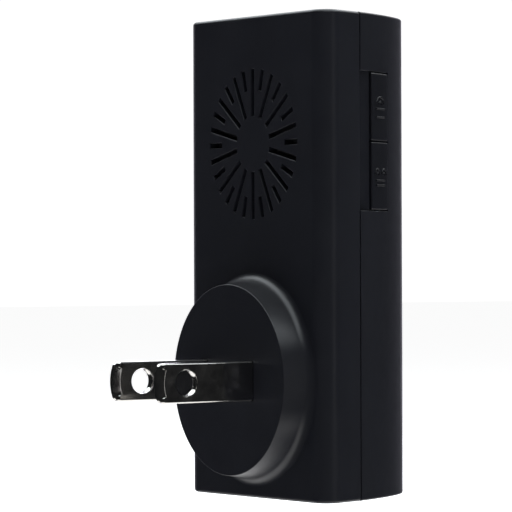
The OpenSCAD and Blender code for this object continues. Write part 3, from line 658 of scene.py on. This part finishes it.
class Shader:
    """A node material with a principled shader, and the few kinds of detail that the pieces share."""

    def __init__(self, name, color, roughness, metallic=0.0, ior=1.46, specular=0.5):
        self.material = bpy.data.materials.new(name)
        self.material.use_nodes = True
        self.tree = self.material.node_tree
        self.shader = self.tree.nodes["Principled BSDF"]
        self.color, self.roughness = color, roughness
        self.set("Base Color", (*color, 1.0))
        self.set("Roughness", roughness)
        self.set("Metallic", metallic)
        self.set("IOR", ior)
        self.set("Specular IOR Level", specular)
        self.coordinates = self.tree.nodes.new("ShaderNodeTexCoord").outputs["Object"]

    def set(self, socket, value):
        self.shader.inputs[socket].default_value = value
        return self

    def node(self, kind, **settings):
        node = self.tree.nodes.new(kind)
        for key, value in settings.items():
            setattr(node, key, value)
        return node

    def link(self, start, end):
        self.tree.links.new(start, end)

    def scaled(self, stretch):
        """Object coordinates stretched along each axis, for drawn or brushed detail."""
        mapping = self.node("ShaderNodeMapping")
        mapping.inputs["Scale"].default_value = stretch
        self.link(self.coordinates, mapping.inputs["Vector"])
        return mapping.outputs["Vector"]

    def noise(self, size_mm, detail=3.0, roughness=0.55, stretch=None):
        noise = self.node("ShaderNodeTexNoise")
        noise.inputs["Scale"].default_value = 1 / (size_mm * MM)
        noise.inputs["Detail"].default_value = detail
        noise.inputs["Roughness"].default_value = roughness
        self.link(self.scaled(stretch) if stretch else self.coordinates, noise.inputs["Vector"])
        return noise.outputs["Fac"]

    def spread(self, fac, low, high, span=(0.3, 0.7)):
        """Maps a pattern to a range of values."""
        remap = self.node("ShaderNodeMapRange")
        remap.inputs["From Min"].default_value, remap.inputs["From Max"].default_value = span
        remap.inputs["To Min"].default_value, remap.inputs["To Max"].default_value = low, high
        self.link(fac, remap.inputs["Value"])
        return remap.outputs["Result"]

    def mottle(self, fac, dark, light):
        """Varies the colour between two multiples of itself."""
        mix = self.node("ShaderNodeMix", data_type="RGBA")
        mix.inputs["A"].default_value = (*[c * dark for c in self.color], 1.0)
        mix.inputs["B"].default_value = (*[c * light for c in self.color], 1.0)
        self.link(self.spread(fac, 0.0, 1.0), mix.inputs["Factor"])
        self.link(mix.outputs["Result"], self.shader.inputs["Base Color"])
        return self

    def blotch(self, fac, color, span):
        """Lays a second colour over the first where a pattern is high."""
        mix = self.node("ShaderNodeMix", data_type="RGBA")
        base = self.shader.inputs["Base Color"]
        if base.links:
            self.link(base.links[0].from_socket, mix.inputs["A"])
        else:
            mix.inputs["A"].default_value = (*self.color, 1.0)
        mix.inputs["B"].default_value = (*color, 1.0)
        self.link(self.spread(fac, 0.0, 1.0, span), mix.inputs["Factor"])
        self.link(mix.outputs["Result"], base)
        return self

    def polish(self, fac, change):
        """Varies the roughness either way by a change."""
        low, high = self.roughness - change, self.roughness + change
        self.link(self.spread(fac, low, high), self.shader.inputs["Roughness"])
        return self

    def bump(self, layers):
        """Stacks bumps: layers is a list of (pattern, height in millimetres, strength)."""
        normal = None
        for fac, height, strength in layers:
            bump = self.node("ShaderNodeBump")
            bump.inputs["Distance"].default_value = height * MM
            bump.inputs["Strength"].default_value = strength
            self.link(fac, bump.inputs["Height"])
            if normal:
                self.link(normal, bump.inputs["Normal"])
            normal = bump.outputs["Normal"]
        self.link(normal, self.shader.inputs["Normal"])
        return self


def moulded(name, color, roughness, grain_mm=0.12, height=0.006, specular=0.5):
    """Satin moulded plastic: a fine even grain, faint flow marks and uneven gloss."""
    m = Shader(name, color, roughness, specular=specular)
    grain = m.noise(grain_mm, 2.0, 0.5)
    flow = m.noise(9.0, 3.0, 0.5, (1.0, 1.0, 0.45))
    m.mottle(flow, 0.92, 1.08)
    m.polish(m.noise(3.5, 4.0), 0.04)
    m.bump([(flow, 0.02, 0.15), (grain, height, 0.5)])
    return m.material


def plated(name, color, roughness, scratch=(1.0, 0.06, 1.0)):
    """Bright plating over drawn metal: fine lines along its length and faint cloudiness."""
    m = Shader(name, color, roughness, metallic=1.0)
    lines = m.noise(0.09, 2.0, 0.6, scratch)
    cloud = m.noise(2.2, 3.0)
    m.mottle(cloud, 0.94, 1.04)
    m.polish(cloud, roughness * 0.35)
    m.bump([(lines, 0.002, 0.2)])
    return m.material


def wound(name, color, wire_mm, axis, metallic, roughness):
    """Turns of wire or tape laid side by side along an axis."""
    m = Shader(name, color, roughness, metallic=metallic)
    wave = m.node("ShaderNodeTexWave", wave_type="BANDS", bands_direction=axis, wave_profile="SIN")
    wave.inputs["Scale"].default_value = 2 * math.pi / (20 * wire_mm * MM)
    wave.inputs["Distortion"].default_value = 0.4
    m.link(m.coordinates, wave.inputs["Vector"])
    m.mottle(wave.outputs["Fac"], 0.6, 1.15)
    m.polish(m.noise(0.8), 0.06)
    m.bump([(wave.outputs["Fac"], wire_mm * 0.4, 0.8)])
    return m.material


def coated(name, color, roughness, orange_peel_mm=0.8, height=0.02):
    """Dipped or sleeved surface with a soft orange peel."""
    m = Shader(name, color, roughness)
    m.mottle(m.noise(1.6), 0.85, 1.12)
    m.polish(m.noise(1.1), 0.07)
    m.bump([(m.noise(orange_peel_mm, 2.0), height, 0.6)])
    m.set("Coat Weight", 0.25)
    m.set("Coat Roughness", 0.12)
    return m.material


def frosted_lens():
    m = Shader("lens", (0.9, 0.94, 1.0), 0.22, ior=1.49)
    m.set("Transmission Weight", 0.85)
    m.mottle(m.noise(0.7), 0.93, 1.0)
    m.polish(m.noise(0.5), 0.06)
    m.bump([(m.noise(0.25, 2.0), 0.01, 0.4)])
    return m.material


def woven_mesh():
    m = Shader("mesh", (0.012, 0.012, 0.013), 0.6)
    checks = []
    for direction in ("X", "Z"):
        wave = m.node("ShaderNodeTexWave", wave_type="BANDS", bands_direction=direction)
        wave.inputs["Scale"].default_value = 2 * math.pi / (20 * 0.35 * MM)
        m.link(m.coordinates, wave.inputs["Vector"])
        checks.append(wave.outputs["Fac"])
    cross = m.node("ShaderNodeMath", operation="MAXIMUM")
    m.link(checks[0], cross.inputs[0])
    m.link(checks[1], cross.inputs[1])
    m.mottle(cross.outputs["Value"], 0.4, 1.4)
    m.polish(m.noise(0.4), 0.08)
    m.bump([(cross.outputs["Value"], 0.1, 0.9)])
    return m.material


def foam():
    m = Shader("foam", (0.035, 0.035, 0.037), 0.95)
    cells = m.node("ShaderNodeTexVoronoi")
    cells.inputs["Scale"].default_value = 1 / (0.3 * MM)
    m.link(m.coordinates, cells.inputs["Vector"])
    m.mottle(m.noise(0.5), 0.7, 1.3)
    m.polish(m.noise(0.6), 0.04)
    m.bump([(cells.outputs["Distance"], 0.12, 0.9)])
    return m.material


def solder_mask():
    """Green mask over copper: a mottled tone and lighter traces."""
    m = Shader("board", (0.02, 0.13, 0.05), 0.32)
    m.mottle(m.noise(2.4, 1.0, 0.3), 0.75, 1.5)
    brick = m.node("ShaderNodeTexBrick", offset=0.5)
    brick.inputs["Scale"].default_value = 1 / (6 * MM)
    brick.inputs["Mortar Size"].default_value = 0.04
    brick.inputs["Color1"].default_value = (0, 0, 0, 1)
    brick.inputs["Color2"].default_value = (0, 0, 0, 1)
    brick.inputs["Mortar"].default_value = (1, 1, 1, 1)
    turn = m.node("ShaderNodeMapping")
    turn.inputs["Rotation"].default_value = (math.pi / 2, 0, 0)
    m.link(m.coordinates, turn.inputs["Vector"])
    m.link(turn.outputs["Vector"], brick.inputs["Vector"])
    m.blotch(brick.outputs["Color"], (0.04, 0.24, 0.09), (0.3, 0.7))
    m.polish(m.noise(1.2), 0.06)
    m.bump([(brick.outputs["Color"], 0.035, 0.6), (m.noise(0.2), 0.01, 0.3)])
    m.set("Coat Weight", 0.3)
    m.set("Coat Roughness", 0.15)
    return m.material


def ceramic(name, color, roughness, grain_mm, height):
    """Sintered or fired surface with pores."""
    m = Shader(name, color, roughness)
    pores = m.noise(grain_mm, 4.0, 0.7)
    m.mottle(pores, 0.7, 1.2)
    m.polish(m.noise(1.4), 0.06)
    m.bump([(pores, height, 0.7)])
    return m.material


BLACK_PLASTIC = (0.0058, 0.0061, 0.0086)
KEY_PLASTIC = (0.0040, 0.0042, 0.0062)

MATERIALS = {
    "housing": moulded("housing", BLACK_PLASTIC, 0.36, 0.14, 0.004),
    "key": moulded("key", KEY_PLASTIC, 0.42, 0.12, 0.003, 0.3),
    "blade": plated("blade", (0.72, 0.70, 0.67), 0.16),
    "lens": frosted_lens(),
    "carrier": moulded("carrier", (0.78, 0.74, 0.62), 0.45),
    "screw": plated("screw", (0.58, 0.58, 0.6), 0.3, (1.0, 1.0, 1.0)),
    "lead_black": coated("lead_black", (0.012, 0.012, 0.013), 0.4),
    "lead_white": coated("lead_white", (0.75, 0.75, 0.72), 0.4),
    "lead_red": coated("lead_red", (0.5, 0.02, 0.02), 0.4),
    "mesh": woven_mesh(),
    "foam": foam(),
    "sounder": moulded("sounder", (0.03, 0.03, 0.032), 0.5),
    "cone": moulded("cone", (0.6, 0.52, 0.36), 0.42, 0.3, 0.02),
    "brass": plated("brass", (0.78, 0.57, 0.24), 0.28),
    "ceramic": ceramic("ceramic", (0.72, 0.72, 0.7), 0.5, 0.2, 0.01),
    "board": solder_mask(),
    "black_component": ceramic("black_component", (0.02, 0.02, 0.022), 0.55, 0.15, 0.012),
    "resistor": coated("resistor", (0.12, 0.25, 0.17), 0.6, 0.4, 0.03),
    "varistor": coated("varistor", (0.03, 0.09, 0.4), 0.35),
    "film_capacitor": moulded("film_capacitor", (0.68, 0.5, 0.06), 0.3, 0.4, 0.01),
    "capacitor": coated("capacitor", (0.02, 0.03, 0.09), 0.3),
    "ferrite": ceramic("ferrite", (0.045, 0.045, 0.05), 0.6, 0.25, 0.02),
    "winding": wound("winding", (0.62, 0.45, 0.06), 1.2, "Z", 0.0, 0.35),
    "copper_winding": wound("copper_winding", (0.7, 0.3, 0.12), 0.35, "Y", 1.0, 0.3),
    "tin": plated("tin", (0.66, 0.67, 0.69), 0.32, (1.0, 1.0, 1.0)),
    "light": coated("light", (0.8, 0.72, 0.35), 0.25, 0.5, 0.01),
}


def slot_of_nodes():
    """The record's material slot of each CAD node."""
    slots = {}
    for part in frame["record"]["subparts"]:
        slots[part["node"]] = part["material_slot"]
    return slots


def dress_cad_nodes():
    slots = slot_of_nodes()
    for name, obj in frame["nodes"].items():
        material = MATERIALS[slots[name]]
        if not obj.material_slots:
            obj.data.materials.append(material)
        for slot in obj.material_slots:
            slot.material = material


# ---- Camera, light and stage ----

def make_camera():
    """The photograph's view, from the blade side, level with the middle of the body."""
    data = bpy.data.cameras.new("camera")
    data.lens = 229.03
    data.sensor_width = 36.0
    data.clip_start, data.clip_end = 0.01, 50.0
    camera = bpy.data.objects.new("camera", data)
    bpy.context.scene.collection.objects.link(camera)
    camera.location = Vector((-431.012, 300.549, 18.568)) * MM
    target = Vector((3.907, -8.502, 20.024)) * MM
    look = (target - camera.location).to_track_quat("-Z", "Y")
    roll = Quaternion((0, 0, 1), math.radians(-0.187))
    camera.rotation_mode = "QUATERNION"
    camera.rotation_quaternion = look @ roll
    bpy.context.scene.camera = camera


def softbox(name, place, aim, width, height, power, color=(1.0, 1.0, 1.0)):
    """A rectangular area light, in metres and watts, hidden from the camera itself."""
    data = bpy.data.lights.new(name, "AREA")
    data.shape = "RECTANGLE"
    data.size, data.size_y = width, height
    data.energy = power
    data.color = color
    light = bpy.data.objects.new(name, data)
    light.location = place
    light.rotation_mode = "QUATERNION"
    light.rotation_quaternion = (Vector(aim) - Vector(place)).to_track_quat("-Z", "Y")
    light.visible_camera = False
    bpy.context.scene.collection.objects.link(light)
    return light


def make_stage():
    """A pale floor that doesn't show in the object's gloss, under a white surround."""
    ways = [(-1, -1), (1, -1), (1, 1), (-1, 1)]
    floor = solid("floor", [(x * FLOOR_HALF, y * FLOOR_HALF, FLOOR_Z) for x, y in ways], [(0, 1, 2, 3)])
    pale = Shader("floor", (0.9, 0.9, 0.9), 0.9, specular=0.1)
    pale.set("Emission Color", (1.0, 1.0, 1.0, 1.0))
    pale.set("Emission Strength", 0.95)
    pale.mottle(pale.noise(400.0), 0.99, 1.01)
    floor.data.materials.append(pale.material)
    floor.visible_glossy = False
    floor.visible_shadow = False
    world = bpy.data.worlds.new("surround")
    bpy.context.scene.world = world
    world.use_nodes = True
    tree = world.node_tree
    tree.nodes.clear()
    ray = tree.nodes.new("ShaderNodeLightPath")
    mix = tree.nodes.new("ShaderNodeMixShader")
    dim, white = tree.nodes.new("ShaderNodeBackground"), tree.nodes.new("ShaderNodeBackground")
    dim.inputs["Color"].default_value = (0.9, 0.94, 1.0, 1.0)
    dim.inputs["Strength"].default_value = 0.012
    white.inputs["Color"].default_value = (1.0, 1.0, 1.0, 1.0)
    white.inputs["Strength"].default_value = 1.05
    output = tree.nodes.new("ShaderNodeOutputWorld")
    tree.links.new(ray.outputs["Is Camera Ray"], mix.inputs["Fac"])
    tree.links.new(dim.outputs["Background"], mix.inputs[1])
    tree.links.new(white.outputs["Background"], mix.inputs[2])
    tree.links.new(mix.outputs["Shader"], output.inputs["Surface"])


def make_lights():
    """Wide soft light from above and below, and dim boxes round the sides for the gloss along the edges."""
    aim = (0.0, -0.01, 0.02)
    softbox("overhead", (0.35, -0.35, 0.9), (0.35, -0.35, 0.0), 2.5, 1.7, 42, (0.9, 0.96, 1.0))
    softbox("high_front", (0.45, -0.95, 0.75), aim, 1.0, 0.5, 1.8)
    softbox("underneath", (0.35, -0.35, -0.9), (0.35, -0.35, 0.0), 2.5, 1.7, 18)
    softbox("low_front", (0.45, -0.95, -0.7), aim, 1.0, 0.5, 1.5)
    softbox("front", (-0.1, -1.13, 0.02), aim, 0.5, 0.8, 0.06, (0.92, 0.94, 1.0))
    softbox("behind", (0.88, -0.47, 0.02), aim, 1.5, 0.8, 2.6, (0.88, 0.86, 1.0))
    softbox("rim", (0.79, -0.61, 0.02), aim, 0.35, 0.8, 1.6, (0.88, 0.86, 1.0))
    softbox("tip", (-1.05, -0.34, 0.02), aim, 0.1, 0.8, 0.25)


make_camera()
make_stage()
make_lights()
bpy.context.scene.view_settings.view_transform = "Standard"
dress_cad_nodes()
place_piece(rear_housing(), "housing", "rear_housing", MATERIALS["housing"])
place_piece(front_cover(), "housing", "front_cover", MATERIALS["housing"])
place_piece(light_pipe(), "housing", "light_pipe", MATERIALS["lens"])
place_piece(key("upper_key", False), "upper_key", "upper_key", MATERIALS["key"])
place_piece(key("lower_key", True), "lower_key", "lower_key", MATERIALS["key"])
place_piece(blade("left_blade", -1), "housing", "left_blade", MATERIALS["blade"])
place_piece(blade("right_blade", 1), "housing", "right_blade", MATERIALS["blade"])
